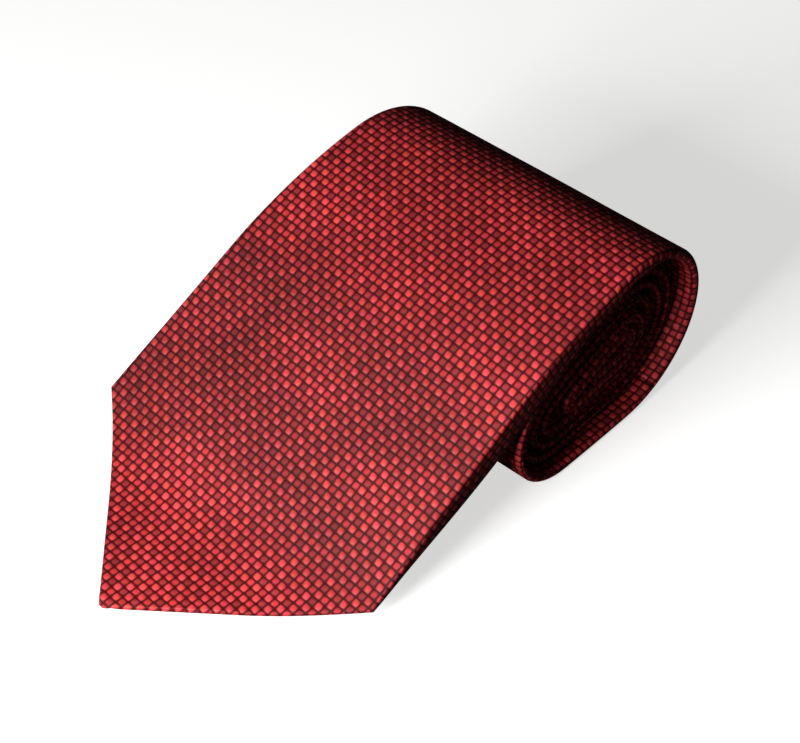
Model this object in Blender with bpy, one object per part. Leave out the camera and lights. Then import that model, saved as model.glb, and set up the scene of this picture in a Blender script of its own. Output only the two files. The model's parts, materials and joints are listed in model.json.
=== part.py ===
"""A silk necktie, folded in half at the neck and rolled up from the fold, with its wide blade outermost.

Metres, +Z up, standing on z = 0.  The blade's tip lies on the table towards -X, the roll lies across Y
at +X.  Every layer is laid along one route: the line that the tie's front face follows from the tip,
up the ramp, and round and round into the core of the roll.
"""
import math

import bmesh
import bpy
from mathutils import Matrix, Vector

# ---- cloth and layers ---------------------------------------------------------------------------
SHELL = 0.00025          # silk shell
INTERLINING = 0.0004     # wool-blend interlining inside the shell
TIPPING = 0.0002         # lining at each tip
GAP = 0.0003             # air between touching layers
THICKNESS = 2 * SHELL + INTERLINING + 2 * GAP     # one leg of the tie
HEM_THICKNESS = THICKNESS + TIPPING + GAP         # where the tipping adds a layer

# ---- the flat tie -------------------------------------------------------------------------------
BLADE_WIDTH = 0.0902     # across the blade's shoulder
BLADE_TIP = 0.0415       # shoulder line to the point
BLADE_TAPER = 0.082      # width lost for each metre of length, from the shoulder
NECK_WIDTH = 0.036
TAIL_WIDTH = 0.043
TAIL_TIP = 0.020
TAIL_TAPER = 0.060
HEM = 0.0155             # folded-back cloth along a blade edge at the tip
TAIL_HEM = 0.008
FOLD_AT = 0.7685         # blade shoulder to the fold at the neck
TAIL_END = 0.058         # blade shoulder to the tail's point, hidden under the ramp
SEAM_START = 0.038       # blade shoulder to the bar tack that starts the back seam
TAIL_SEAM_START = 0.024  # tail's shoulder to its bar tack
TIPPING_END = 0.042      # blade shoulder to the top of the tipping
TAIL_TIPPING_END = 0.012
NECK_JOIN = 0.590        # blade shoulder to the seam between blade and neck
TAIL_JOIN = 0.600        # same place on the tail's side, between neck and tail
LINING_JOIN = 0.640      # where the blade's interlining meets the tail's
SEAM_SLOT = 0.0009       # between the two edges that meet at the centre back
JOIN_GAP = 0.0005        # from the middle of a joining seam to the cloth on each side
JOIN_THREAD = 0.0004     # length of the seam ring along the tie
STITCH_WIDTH = 0.0003

# ---- how it lies --------------------------------------------------------------------------------
TOE_START = -0.021       # where the blade starts to leave the table, from the shoulder
TOE_RADIUS = 0.040
RAMP_ANGLE = math.radians(32.9)
TOP_RADIUS = 0.126       # gentle arch of the blade over the roll
TOP_END_ANGLE = math.radians(12.1)
ROLL_LEAN = 0.0040       # how much smaller the roll's tip side is than its far side
FIRST_LEG_GAP = 0.0011   # between the two legs in the loose outer turn
LEG_GAP = 0.00032        # between the two legs in the tight turns
BOTH_LEGS = 2 * THICKNESS + LEG_GAP
TURN_SAG = 0.0019        # how far the inner turns have sunk on to the outer turn's floor
FLOOR_GAP = 0.00038      # under the sunk turns
FIRST_PITCH = BOTH_LEGS + FLOOR_GAP + TURN_SAG     # outer turn to the next one
TURN_GAP = 0.00033       # between the tighter inner turns
PITCH = BOTH_LEGS + TURN_GAP
SLACK_CLOSING = 0.024    # length over which the outer turn's slack closes, before its floor
SLACK_MARGIN = 0.006
CORE_CLEARANCE = 0.0003  # left inside the innermost bend
CORE_END_GAP = 0.005556    # from the fold at the core's middle to the innermost turn
BLADE_SKEW = math.radians(-4.83)     # the blade runs off the roll at a slight angle
ROLL_SKEW = math.radians(0.9)        # along the outer turn
SKEW_START = 0.125
SKEW_END = 0.185
FLUSH_START = 0.235      # from here the near edges of the turns keep in line, as the blade narrows
FLUSH_BEND = 0.040

# ---- trims --------------------------------------------------------------------------------------
TRIM_GAP = 0.0025        # along the tie, from tail tack to label and from label to keeper loop
LABEL_SIZE = (0.018, 0.020, 0.0002)        # along, across, thick
LABEL_AT = TAIL_END + TAIL_TIP + TAIL_SEAM_START + TRIM_GAP + LABEL_SIZE[0] / 2
KEEPER_LENGTH = 0.010
KEEPER_AT = LABEL_AT + (LABEL_SIZE[0] + KEEPER_LENGTH) / 2 + TRIM_GAP
KEEPER_THICKNESS = 0.0004
KEEPER_SIDE_GAP = 0.0012
KEEPER_FOOT = 0.006
KEEPER_LIFT = 0.0005     # from the blade's back to the loop's feet, on the outside of a bend
CARE_LABEL_AT = 0.080
CARE_LABEL_SIZE = (0.018, 0.014, 0.0002)
BAR_TACK = (0.0014, 0.007, 0.0004)
LOOP_TACK = (0.0010, 0.0030, 0.0003)

ARC_STEP = 0.26          # radians between stations on a bend
LINE_STEP = 0.012
LEAST_STEP = 0.0004      # no two stations closer than this
RADIUS_STEP = 0.00005    # fineness of the search for the roll's size


class Route:
    """A plane curve of lines and arcs, addressed by the distance along it."""

    def __init__(self, start, heading, first, pieces):
        self.starts = [(first, start, heading, 0.0)]
        for length, curvature in pieces:
            distance, point, angle, _ = self.starts[-1]
            self.starts[-1] = (distance, point, angle, curvature)
            turned = self._walk(point, angle, curvature, length)
            self.starts.append((distance + length, turned, angle + curvature * length, 0.0))

    @staticmethod
    def _walk(point, angle, curvature, length):
        if abs(curvature) < 1e-9:
            return (point[0] + length * math.cos(angle), point[1] + length * math.sin(angle))
        end = angle + curvature * length
        return (point[0] + (math.sin(end) - math.sin(angle)) / curvature,
                point[1] - (math.cos(end) - math.cos(angle)) / curvature)

    def at(self, distance):
        """Point and heading at a distance; past either end the route runs on straight."""
        piece = self.starts[0]
        for candidate in self.starts:
            if candidate[0] <= distance:
                piece = candidate
        first, point, angle, curvature = piece
        if distance < first:
            curvature = 0.0
        length = distance - first
        return self._walk(point, angle, curvature, length), angle + curvature * length


def smooth(start, end, low, high, value):
    """Ease from low to high while value runs from start to end."""
    share = min(max((value - start) / (end - start), 0.0), 1.0)
    return low + (high - low) * share * share * (3 - 2 * share)


def turn_depth(turn):
    """How far a turn of the roll lies inside the outermost one."""
    return FIRST_PITCH + (turn - 1) * PITCH if turn else 0.0


def turn_sag(turn):
    """How far the middle of a turn lies below the middle of the outermost one."""
    return TURN_SAG if turn else 0.0


FOLD_CENTRE = BOTH_LEGS / 2               # depth of the fold's centre


def wrap_pieces(roll_radius, turns):
    """The front face from the toe to the core, as (length, curvature) pairs."""
    far = Vector((0.0, roll_radius))                       # centre of the far side's bends
    top = far - (TOP_RADIUS - roll_radius) * Vector((-math.sin(TOP_END_ANGLE), math.cos(TOP_END_ANGLE)))
    arch_foot = top + TOP_RADIUS * Vector((-math.sin(RAMP_ANGLE), math.cos(RAMP_ANGLE)))
    toe_rise = TOE_RADIUS * (1 - math.cos(RAMP_ANGLE))
    ramp = (arch_foot.y - HEM_THICKNESS - toe_rise) / math.sin(RAMP_ANGLE)
    pieces = [(TOE_RADIUS * RAMP_ANGLE, 1 / TOE_RADIUS), (ramp, 0.0)]
    pieces.append((TOP_RADIUS * (RAMP_ANGLE - TOP_END_ANGLE), -1 / TOP_RADIUS))
    tightest = BOTH_LEGS + CORE_CLEARANCE
    for turn in range(turns):
        depth, next_depth = turn_depth(turn), turn_depth(turn + 1)
        radius = roll_radius - depth
        near_depth = (depth + next_depth + turn_sag(turn + 1) - turn_sag(turn)) / 2
        near_radius = max(roll_radius - ROLL_LEAN - near_depth, tightest)
        arch = TOP_RADIUS - next_depth
        drop = depth - turn_sag(turn) + near_radius - top.y + turn_sag(turn + 1)
        run = math.sqrt((arch - near_radius) ** 2 - drop ** 2)
        meet = max(math.atan2(run, drop), TOP_END_ANGLE)
        pieces.append((radius * (TOP_END_ANGLE + math.pi), -1 / radius))
        pieces.append((far.x - top.x + run, 0.0))
        pieces.append((near_radius * (math.pi - meet), -1 / near_radius))
        pieces.append((arch * (meet - TOP_END_ANGLE), -1 / arch))
    core_radius = roll_radius - turn_depth(turns)
    core_run = far.x - top.x + run + near_radius - BOTH_LEGS - FOLD_CENTRE - CORE_END_GAP
    pieces += [(core_radius * (TOP_END_ANGLE + math.pi), -1 / core_radius), (core_run, 0.0)]
    return pieces


def roll_size(length):
    """Smallest roll whose whole turns hold the given length of cloth: its radius and its turns."""
    smallest = BOTH_LEGS + CORE_CLEARANCE + PITCH
    radius = smallest + turn_depth(2)
    turns = 2
    while sum(piece[0] for piece in wrap_pieces(radius, turns)) < length:
        radius += RADIUS_STEP
        turns = 1
        while radius - turn_depth(turns) >= smallest:
            turns += 1
    return radius, turns


ROLL_RADIUS, TURNS = roll_size(FOLD_AT - TOE_START)
WRAP = Route((TOE_START, HEM_THICKNESS), 0.0, TOE_START, wrap_pieces(ROLL_RADIUS, TURNS))
SKEW_BEND = (ROLL_SKEW - BLADE_SKEW) / (SKEW_END - SKEW_START)
FLUSH_SKEW = -math.atan(BLADE_TAPER / 2)
NECK_START = (BLADE_WIDTH - NECK_WIDTH) / BLADE_TAPER     # where the taper ends
CENTRE = Route((-BLADE_TIP * math.cos(BLADE_SKEW), -BLADE_TIP * math.sin(BLADE_SKEW)), BLADE_SKEW,
               -BLADE_TIP, [(BLADE_TIP + SKEW_START, 0.0), (SKEW_END - SKEW_START, SKEW_BEND),
                            (FLUSH_START - SKEW_END, 0.0),
                            (FLUSH_BEND, (FLUSH_SKEW - ROLL_SKEW) / FLUSH_BEND),
                            (NECK_START - FLUSH_START - FLUSH_BEND, 0.0),
                            (FLUSH_BEND, -FLUSH_SKEW / FLUSH_BEND)])
CREST = WRAP.starts[3][0] + ROLL_RADIUS * TOP_END_ANGLE
TIGHT_START = WRAP.starts[4][0] - SLACK_MARGIN            # the outer turn's floor starts after this
LOOSE_END = TIGHT_START - SLACK_CLOSING


def leg_gap(along):
    return smooth(LOOSE_END, TIGHT_START, FIRST_LEG_GAP, LEG_GAP, along)


def place(along, across, depth):
    """World point at a distance from the blade's shoulder, across the width and in from the front."""
    (middle, side), skew = CENTRE.at(along)
    (x, z), heading = WRAP.at(middle - across * math.sin(skew))
    y = side + across * math.cos(skew)
    return Vector((x + depth * math.sin(heading), y, z - depth * math.cos(heading)))


def place_tail(along, across, depth):
    """The same for the tail, which lies back to back with the blade; depth is from its own front."""
    return place(along, across, 2 * THICKNESS + leg_gap(along) - depth)


FOLD_LENGTH = math.pi * FOLD_CENTRE       # front face, round the fold


def place_round_fold(along, across, depth):
    """The neck: on the blade's side before the fold, round it, then on the tail's side."""
    past = along - FOLD_AT
    if past <= 0:
        return place(along, across, depth)
    if past >= FOLD_LENGTH:
        return place_tail(FOLD_AT - (past - FOLD_LENGTH), across, depth)
    turned = past / FOLD_CENTRE
    reach = FOLD_CENTRE - depth
    on_axis = place(FOLD_AT, across, FOLD_CENTRE - reach * math.cos(turned))
    (middle, _), skew = CENTRE.at(FOLD_AT)
    _, heading = WRAP.at(middle - across * math.sin(skew))
    ahead = reach * math.sin(turned)
    return on_axis + ahead * Vector((math.cos(heading), 0.0, math.sin(heading)))


def stations(start, end, extra=()):
    """Distances between start and end at which every layer gets a cross-section."""
    found = {start, end}
    knots = [piece[0] for piece in WRAP.starts]
    for index, (first, _, _, curvature) in enumerate(WRAP.starts[:-1]):
        length = knots[index + 1] - first
        steps = max(math.ceil(abs(curvature) * length / ARC_STEP), math.ceil(length / LINE_STEP), 1)
        found.update(first + length * step / steps for step in range(steps))
    found.update(extra)
    inside = sorted(value for value in found if start <= value <= end)
    kept = [inside[0]]
    for value in inside[1:-1]:
        if value - kept[-1] > LEAST_STEP and end - value > LEAST_STEP:
            kept.append(value)
    return kept + [inside[-1]]


def round_fold_stations(end_on_tail, start_on_blade):
    """Stations from the blade's side, round the fold, to a place on the tail's side."""
    before = stations(start_on_blade, FOLD_AT)
    bend = [FOLD_AT + FOLD_LENGTH * step / 6 for step in range(1, 6)]
    after = [2 * FOLD_AT + FOLD_LENGTH - value for value in stations(end_on_tail, FOLD_AT)]
    return before + bend + sorted(after)


def blade_half(along):
    if along < 0:
        return (along + BLADE_TIP) * BLADE_WIDTH / 2 / BLADE_TIP
    return max(BLADE_WIDTH - BLADE_TAPER * along, NECK_WIDTH) / 2


def tail_half(along):
    past = along - TAIL_END
    if past < TAIL_TIP:
        return past * TAIL_WIDTH / 2 / TAIL_TIP
    return max(TAIL_WIDTH - TAIL_TAPER * (past - TAIL_TIP), NECK_WIDTH) / 2


def opening(half, half_at_shoulder, hem, past_shoulder, seam_start):
    """Half the gap between the folded-back edges: open at the tip, closed along the back seam."""
    if past_shoulder <= 0:
        return max(half - hem, SEAM_SLOT / 2)
    open_here = (half_at_shoulder - hem) * (1 - past_shoulder / seam_start)
    return max(open_here, SEAM_SLOT / 2)


def shell_outline(half, slot, depth):
    """The shell's cross-section, folded round both edges to the back: outer and inner faces."""
    def face(inset):
        radius = depth / 2 - inset
        side = half - depth / 2
        right = [(slot, depth - inset)]
        for turn in (0.0, math.pi / 2, math.pi):
            right.append((side + radius * math.sin(turn), depth / 2 + radius * math.cos(turn)))
        return right + [(0.0, inset)] + [(-across, back) for across, back in reversed(right)]
    return face(0.0), face(SHELL)


def strip_outline(half, top, bottom):
    """A flat layer from -half to half, between two depths."""
    across = (half, 0.0, -half)
    return [(value, top) for value in across], [(value, bottom) for value in across]


def blade_depth(along):
    """Thickness of the blade, which is one layer more where the tipping is."""
    return smooth(TIPPING_END + 0.001, TIPPING_END + 0.010, HEM_THICKNESS, THICKNESS, along)


def tail_depth(along):
    past = along - TAIL_END - TAIL_TIP
    return smooth(TAIL_TIPPING_END + 0.001, TAIL_TIPPING_END + 0.006, HEM_THICKNESS, THICKNESS, past)


def blade_shell(along):
    half = blade_half(along)
    slot = opening(half, BLADE_WIDTH / 2, HEM, along, SEAM_START)
    return shell_outline(half, slot, blade_depth(along))


def neck_shell(_):
    return shell_outline(NECK_WIDTH / 2, SEAM_SLOT / 2, THICKNESS)


def tail_shell(along):
    half = tail_half(along)
    past = along - TAIL_END - TAIL_TIP
    slot = opening(half, TAIL_WIDTH / 2, TAIL_HEM, past, TAIL_SEAM_START)
    return shell_outline(half, slot, tail_depth(along))


LINING_TOP = SHELL + GAP
LINING_BOTTOM = LINING_TOP + INTERLINING
TIPPING_TOP = LINING_BOTTOM + GAP
TIPPING_BOTTOM = TIPPING_TOP + TIPPING
EDGE_INSET = HEM_THICKNESS / 2 + GAP      # keeps inner layers out of the shell's folded edges


def blade_lining(along):
    return strip_outline(blade_half(along) - EDGE_INSET, LINING_TOP, LINING_BOTTOM)


def tail_lining(along):
    return strip_outline(tail_half(along) - EDGE_INSET, LINING_TOP, LINING_BOTTOM)


def neck_lining(_):
    return strip_outline(NECK_WIDTH / 2 - EDGE_INSET, LINING_TOP, LINING_BOTTOM)


def blade_tipping(along):
    return strip_outline(blade_half(along) - EDGE_INSET, TIPPING_TOP, TIPPING_BOTTOM)


def tail_tipping(along):
    return strip_outline(tail_half(along) - EDGE_INSET, TIPPING_TOP, TIPPING_BOTTOM)


def stitch_at(depth):
    """The slip-stitch thread, which lies in the slot between the two back edges."""
    return lambda along: strip_outline(STITCH_WIDTH / 2, depth(along) - SHELL, depth(along))


def sweep(name, finish, rows, outline, placed=place):
    """One closed solid through the outline at each station."""
    mesh = bmesh.new()
    rings = []
    for along in rows:
        outer, inner = outline(along)
        rings.append([[mesh.verts.new(placed(along, *point)) for point in face] for face in (outer, inner)])
    for (outer, inner), (next_outer, next_inner) in zip(rings, rings[1:]):
        for side, next_side in ((outer, next_outer), (next_inner, inner)):
            for a, b, c, d in zip(side, side[1:], next_side[1:], next_side):
                mesh.faces.new((a, b, c, d))
        mesh.faces.new((inner[0], outer[0], next_outer[0], next_inner[0]))
        mesh.faces.new((outer[-1], inner[-1], next_inner[-1], next_outer[-1]))
    for outer, inner in (rings[0], rings[-1]):
        for a, b, c, d in zip(outer, outer[1:], inner[1:], inner):
            mesh.faces.new((a, b, c, d))
    return finish_object(name, finish, mesh)


def block(name, finish, middle, size, depth, placed=place):
    """A small flat piece: size is along, across and thick, and depth is where its near face lies."""
    along, across, thick = size
    faces = strip_outline(across / 2, depth, depth + thick)
    return sweep(name, finish, stations(middle - along / 2, middle + along / 2), lambda _: faces, placed)


def finish_object(name, finish, mesh):
    bmesh.ops.triangulate(mesh, faces=mesh.faces[:])
    bmesh.ops.recalc_face_normals(mesh, faces=mesh.faces[:])
    data = bpy.data.meshes.new(name)
    mesh.to_mesh(data)
    mesh.free()
    made = bpy.data.objects.new(name, data)
    data.materials.append(material(name, finish))
    bpy.context.scene.collection.objects.link(made)
    return made


# colour, roughness
FINISHES = {
    "silk": ((0.42, 0.03, 0.04), 0.5),
    "lining": ((0.10, 0.012, 0.016), 0.6),
    "wool": ((0.62, 0.58, 0.50), 0.95),
    "thread": ((0.30, 0.02, 0.03), 0.7),
    "label": ((0.05, 0.05, 0.06), 0.6),
    "care": ((0.80, 0.79, 0.76), 0.6),
}


def material(name, finish):
    colour, roughness = FINISHES[finish]
    made = bpy.data.materials.new(name)
    made.use_nodes = True
    shader = made.node_tree.nodes["Principled BSDF"]
    shader.inputs["Base Color"].default_value = (*colour, 1.0)
    shader.inputs["Roughness"].default_value = roughness
    shader.inputs["Metallic"].default_value = 0.0
    return made


BLADE_BREAKS = (0.0, SEAM_START, TIPPING_END + 0.001, TIPPING_END + 0.0055, TIPPING_END + 0.010,
                LOOSE_END, TIGHT_START)
TAIL_SHOULDER = TAIL_END + TAIL_TIP
TAIL_BREAKS = (TAIL_SHOULDER, TAIL_SHOULDER + TAIL_SEAM_START, TAIL_SHOULDER + TAIL_TIPPING_END + 0.001,
               TAIL_SHOULDER + TAIL_TIPPING_END + 0.006)
FREE_END = CREST - GAP / 2
ROLLED_START = CREST + GAP / 2


def tip_breaks(tip, half, shoulder, inset, hem):
    """Stations in a pointed end, where the outline has its corners."""
    slope = half / tip
    return (shoulder - tip + inset / slope, shoulder - tip + (hem + SEAM_SLOT / 2) / slope, shoulder)


def make_blade():
    """The wide front leg: a free part that lifts, and the part that stays in the roll."""
    start, closed, _ = tip_breaks(BLADE_TIP, BLADE_WIDTH / 2, 0.0, HEM_THICKNESS / 2 + SHELL + GAP, HEM)
    lining_start = tip_breaks(BLADE_TIP, BLADE_WIDTH / 2, 0.0, 2 * EDGE_INSET, HEM)[0]
    free = [
        sweep("blade_shell_free", "silk", stations(start, FREE_END, (closed, *BLADE_BREAKS)), blade_shell),
        sweep("blade_interlining_free", "wool", stations(lining_start, FREE_END, (0.0,)), blade_lining),
        sweep("blade_tipping", "lining", stations(lining_start, TIPPING_END, (0.0,)), blade_tipping),
        sweep("slip_stitch_free", "thread", stations(SEAM_START, FREE_END, BLADE_BREAKS),
              stitch_at(blade_depth)),
        block("blade_bar_tack", "thread", SEAM_START, BAR_TACK, HEM_THICKNESS + GAP),
        block("blank_care_label", "care", CARE_LABEL_AT, CARE_LABEL_SIZE, THICKNESS + GAP),
    ]
    sweep("blade_shell_rolled", "silk", stations(ROLLED_START, NECK_JOIN - JOIN_GAP), blade_shell)
    sweep("blade_interlining_rolled", "wool", stations(ROLLED_START, LINING_JOIN), blade_lining)
    return free


def make_neck():
    """The neck piece round the fold, with the seams that join it to blade and tail."""
    rows = round_fold_stations(TAIL_JOIN + JOIN_GAP, NECK_JOIN + JOIN_GAP)
    sweep("neck_shell", "silk", rows, neck_shell_width, place_round_fold)
    half_thread = JOIN_THREAD / 2
    sweep("blade_neck_seam", "thread", [NECK_JOIN - half_thread, NECK_JOIN + half_thread], blade_shell)
    sweep("neck_tail_seam", "thread", [TAIL_JOIN - half_thread, TAIL_JOIN + half_thread], tail_shell,
          place_tail)


def neck_shell_width(along):
    """The neck's outline, still tapering from the blade until it reaches the neck's own width."""
    if along <= FOLD_AT:
        return blade_shell(along)
    return neck_shell(along)


def make_tail():
    """The narrow back leg, which lies against the blade's back all the way round the roll."""
    half, shoulder = TAIL_WIDTH / 2, TAIL_SHOULDER
    start, closed, _ = tip_breaks(TAIL_TIP, half, shoulder, HEM_THICKNESS / 2 + SHELL + GAP, TAIL_HEM)
    lining_start = tip_breaks(TAIL_TIP, half, shoulder, 2 * EDGE_INSET, TAIL_HEM)[0]
    sweep("tail_shell", "silk", stations(start, TAIL_JOIN - JOIN_GAP, (closed, *TAIL_BREAKS)), tail_shell,
          place_tail)
    fold = round_fold_stations(lining_start, LINING_JOIN + GAP)
    sweep("tail_interlining", "wool", fold, lining_round_fold, place_round_fold)
    sweep("tail_tipping", "lining", stations(lining_start, shoulder + TAIL_TIPPING_END, (shoulder,)),
          tail_tipping, place_tail)
    block("tail_bar_tack", "thread", shoulder + TAIL_SEAM_START, BAR_TACK, THICKNESS + GAP, place_tail)
    seam = round_fold_stations(shoulder + TAIL_SEAM_START, ROLLED_START)
    sweep("slip_stitch_rolled", "thread", seam, stitch_at(lambda _: THICKNESS), place_round_fold)


def lining_round_fold(along):
    past = along - FOLD_AT - FOLD_LENGTH
    if past <= 0:
        return neck_lining(along) if along > FOLD_AT else blade_lining(along)
    return tail_lining(FOLD_AT - past)


def keeper_outline(along):
    """The keeper loop: a foot on the blade's back at each side of the tail, and a bridge over it."""
    foot = THICKNESS + KEEPER_LIFT
    bridge = 2 * THICKNESS + FIRST_LEG_GAP + GAP
    side = tail_half(along) + KEEPER_SIDE_GAP
    thick = KEEPER_THICKNESS
    inner = [(side + KEEPER_FOOT, foot), (side, foot), (side, bridge)]
    outer = [(side + KEEPER_FOOT, foot + thick), (side + thick, foot + thick), (side + thick, bridge + thick)]
    return inner + [(-a, d) for a, d in reversed(inner)], outer + [(-a, d) for a, d in reversed(outer)]


def make_loop_tack(name, side):
    """The tack that holds one foot of the keeper loop, on the +1 or -1 side of the tail."""
    along, across, thick = LOOP_TACK
    middle = side * (tail_half(KEEPER_AT) + KEEPER_SIDE_GAP + (KEEPER_THICKNESS + KEEPER_FOOT) / 2)
    depth = THICKNESS + KEEPER_LIFT + KEEPER_THICKNESS + GAP
    columns = (middle + across / 2, middle - across / 2)
    faces = [(value, depth) for value in columns], [(value, depth + thick) for value in columns]
    sweep(name, "thread", [KEEPER_AT - along / 2, KEEPER_AT + along / 2], lambda _: faces)


def make_trims():
    """Keeper loop, blank label and the tacks that hold the loop."""
    keeper_rows = stations(KEEPER_AT - KEEPER_LENGTH / 2, KEEPER_AT + KEEPER_LENGTH / 2)
    sweep("keeper_loop", "silk", keeper_rows, keeper_outline)
    block("blank_label", "label", LABEL_AT, LABEL_SIZE, THICKNESS + GAP)
    make_loop_tack("keeper_loop_tack_left", 1)
    make_loop_tack("keeper_loop_tack_right", -1)


def hang_on_hinge(pieces):
    """Parent the free blade to an empty on the line, along the roll's crest, where it bends up."""
    hinge = bpy.data.objects.new("blade_lift_hinge", None)
    bpy.context.scene.collection.objects.link(hinge)
    hinge.location = place(CREST, 0.0, 0.0)
    for piece in pieces:
        piece.data.transform(Matrix.Translation(-hinge.location))
        piece.parent = hinge
    return hinge


def centre_on_table(hinge):
    """Move everything so that the origin is the middle of the footprint, on the table."""
    bpy.context.view_layer.update()
    solids = [piece for piece in bpy.data.objects if piece.type == "MESH"]
    corners = [piece.matrix_world @ vertex.co for piece in solids for vertex in piece.data.vertices]
    low = [min(corner[axis] for corner in corners) for axis in range(3)]
    high = [max(corner[axis] for corner in corners) for axis in range(3)]
    shift = Vector(((low[0] + high[0]) / 2, (low[1] + high[1]) / 2, low[2]))
    for placed in [hinge] + [piece for piece in solids if piece.parent is None]:
        placed.location -= shift


def main():
    for old in list(bpy.data.objects):
        bpy.data.objects.remove(old, do_unlink=True)
    hinge = hang_on_hinge(make_blade())
    make_neck()
    make_tail()
    make_trims()
    centre_on_table(hinge)


main()
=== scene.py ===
"""Looks of the rolled silk necktie: micro-check shell, interlining, tipping, stitches and labels.

Each cloth layer is laid along the line that the tie's front face follows, from the blade's tip, up the
ramp, over the crest and round into the core of the roll.  Distances run from the blade's shoulder.
"""
import bpy
import json
import math
import numpy as np
from mathutils import Matrix, Vector


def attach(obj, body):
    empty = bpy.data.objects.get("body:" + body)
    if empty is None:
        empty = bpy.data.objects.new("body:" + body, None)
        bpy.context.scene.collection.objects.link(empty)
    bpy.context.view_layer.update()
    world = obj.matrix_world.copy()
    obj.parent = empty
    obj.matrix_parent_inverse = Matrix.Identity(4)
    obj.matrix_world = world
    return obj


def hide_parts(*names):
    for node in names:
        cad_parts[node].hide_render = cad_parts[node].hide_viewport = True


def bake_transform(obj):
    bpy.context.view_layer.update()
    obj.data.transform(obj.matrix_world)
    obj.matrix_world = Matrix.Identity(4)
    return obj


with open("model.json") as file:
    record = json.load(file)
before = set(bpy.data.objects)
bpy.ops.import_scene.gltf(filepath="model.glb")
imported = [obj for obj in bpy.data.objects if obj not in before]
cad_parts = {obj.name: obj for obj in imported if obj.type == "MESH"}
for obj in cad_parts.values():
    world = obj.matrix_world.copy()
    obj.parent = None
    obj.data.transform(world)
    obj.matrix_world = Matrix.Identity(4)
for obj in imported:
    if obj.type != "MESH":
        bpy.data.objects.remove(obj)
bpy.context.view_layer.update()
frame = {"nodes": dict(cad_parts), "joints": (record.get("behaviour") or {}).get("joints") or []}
nodes = frame["nodes"]

# ---- cloth and layers ---------------------------------------------------------------------------
SHELL = 0.00025
INTERLINING = 0.0004
TIPPING = 0.0002
GAP = 0.0003
THICKNESS = 2 * SHELL + INTERLINING + 2 * GAP
HEM_THICKNESS = THICKNESS + TIPPING + GAP
LINING_TOP = SHELL + GAP
TIPPING_TOP = LINING_TOP + INTERLINING + GAP
LAYER_INSET = HEM_THICKNESS / 2 + GAP

# ---- the flat tie -------------------------------------------------------------------------------
BLADE_WIDTH = 0.0902
BLADE_TIP = 0.0415
BLADE_TAPER = 0.082
NECK_WIDTH = 0.036
TAIL_WIDTH = 0.043
TAIL_TIP = 0.020
TAIL_TAPER = 0.060
HEM = 0.0155
TAIL_HEM = 0.008
FOLD_AT = 0.7685
TAIL_END = 0.058
TAIL_SHOULDER = TAIL_END + TAIL_TIP
SEAM_START = 0.038
TAIL_SEAM_START = 0.024
TIPPING_END = 0.042
TAIL_TIPPING_END = 0.012
NECK_JOIN = 0.590
TAIL_JOIN = 0.600
LINING_JOIN = 0.640
SEAM_SLOT = 0.0009
JOIN_GAP = 0.0005

# ---- how it lies --------------------------------------------------------------------------------
TOE_START = -0.021
TOE_RADIUS = 0.040
RAMP_ANGLE = math.radians(32.9)
TOP_RADIUS = 0.126
TOP_END_ANGLE = math.radians(12.1)
ROLL_LEAN = 0.0040
FIRST_PITCH = 0.0056
PITCH = 0.00365
TURN_SAG = 0.0019         # how far each inner turn drops inside the outer one
FIRST_LEG_GAP = 0.0011
LEG_GAP = 0.00032
SLACK_CLOSING = 0.024
SLACK_MARGIN = 0.006
CORE_CLEARANCE = 0.0003
CORE_RUN = 0.012
TURNS = 5
ROLL_RADIUS = 0.02497
BLADE_SKEW = math.radians(-4.83)
ROLL_SKEW = math.radians(0.9)
SKEW_START = 0.125
SKEW_END = 0.185
FLUSH_START = 0.235      # from here the roll's end is brought level
FLUSH_BEND = 0.040
CUT_AT = 0.165           # where the blade that lifts is parted from the cloth that stays rolled

# ---- trims --------------------------------------------------------------------------------------
TRIM_GAP = 0.0025
LABEL_SIZE = (0.018, 0.020, 0.0002)
LABEL_AT = TAIL_SHOULDER + TAIL_SEAM_START + TRIM_GAP + LABEL_SIZE[0] / 2
KEEPER_LENGTH = 0.010
KEEPER_AT = LABEL_AT + (LABEL_SIZE[0] + KEEPER_LENGTH) / 2 + TRIM_GAP
KEEPER_LIFT = 0.0005
KEEPER_THICKNESS = 0.0004
KEEPER_SIDE_GAP = 0.0012
KEEPER_FOOT = 0.006
CARE_LABEL_AT = 0.080
CARE_LABEL_SIZE = (0.018, 0.014, 0.0002)
BAR_TACK = (0.0014, 0.007, 0.0004)
LOOP_TACK = (0.0010, 0.0030, 0.0003)

SQUARE = 0.0020          # one square of the weave
THREAD = 0.00018         # radius of the sewing thread
TACK_THREAD = 0.00019    # radius of the thread in the bar tacks


# =================================================================================================
# the line the cloth follows
# =================================================================================================
class Route:
    """A plane curve of lines and arcs, addressed by arrays of distances along it."""

    def __init__(self, start, heading, first, pieces):
        rows = [(first, *start, heading, 0.0)]
        for length, curvature in pieces:
            distance, x, y, angle, _ = rows[-1]
            rows[-1] = (distance, x, y, angle, curvature)
            end_x, end_y = self.walk(x, y, angle, curvature, length)
            rows.append((distance + length, float(end_x), float(end_y), angle + curvature * length, 0.0))
        self.rows = np.array(rows)

    @staticmethod
    def walk(x, y, angle, curvature, length):
        bend = np.where(np.abs(curvature) < 1e-9, 1e-9, curvature)
        end = angle + bend * length
        return x + (np.sin(end) - np.sin(angle)) / bend, y - (np.cos(end) - np.cos(angle)) / bend

    def at(self, distance):
        """x, y and heading at each distance; past either end the line runs on straight."""
        index = np.clip(np.searchsorted(self.rows[:, 0], distance, side="right") - 1, 0, None)
        first, x, y, angle, curvature = np.moveaxis(self.rows[index], -1, 0)
        curvature = np.where(distance < first, 0.0, curvature)
        length = distance - first
        return *self.walk(x, y, angle, curvature, length), angle + curvature * length


def turn_depth(turn):
    return FIRST_PITCH + (turn - 1) * PITCH if turn else 0.0


def turn_sag(turn):
    return TURN_SAG if turn else 0.0


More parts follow.
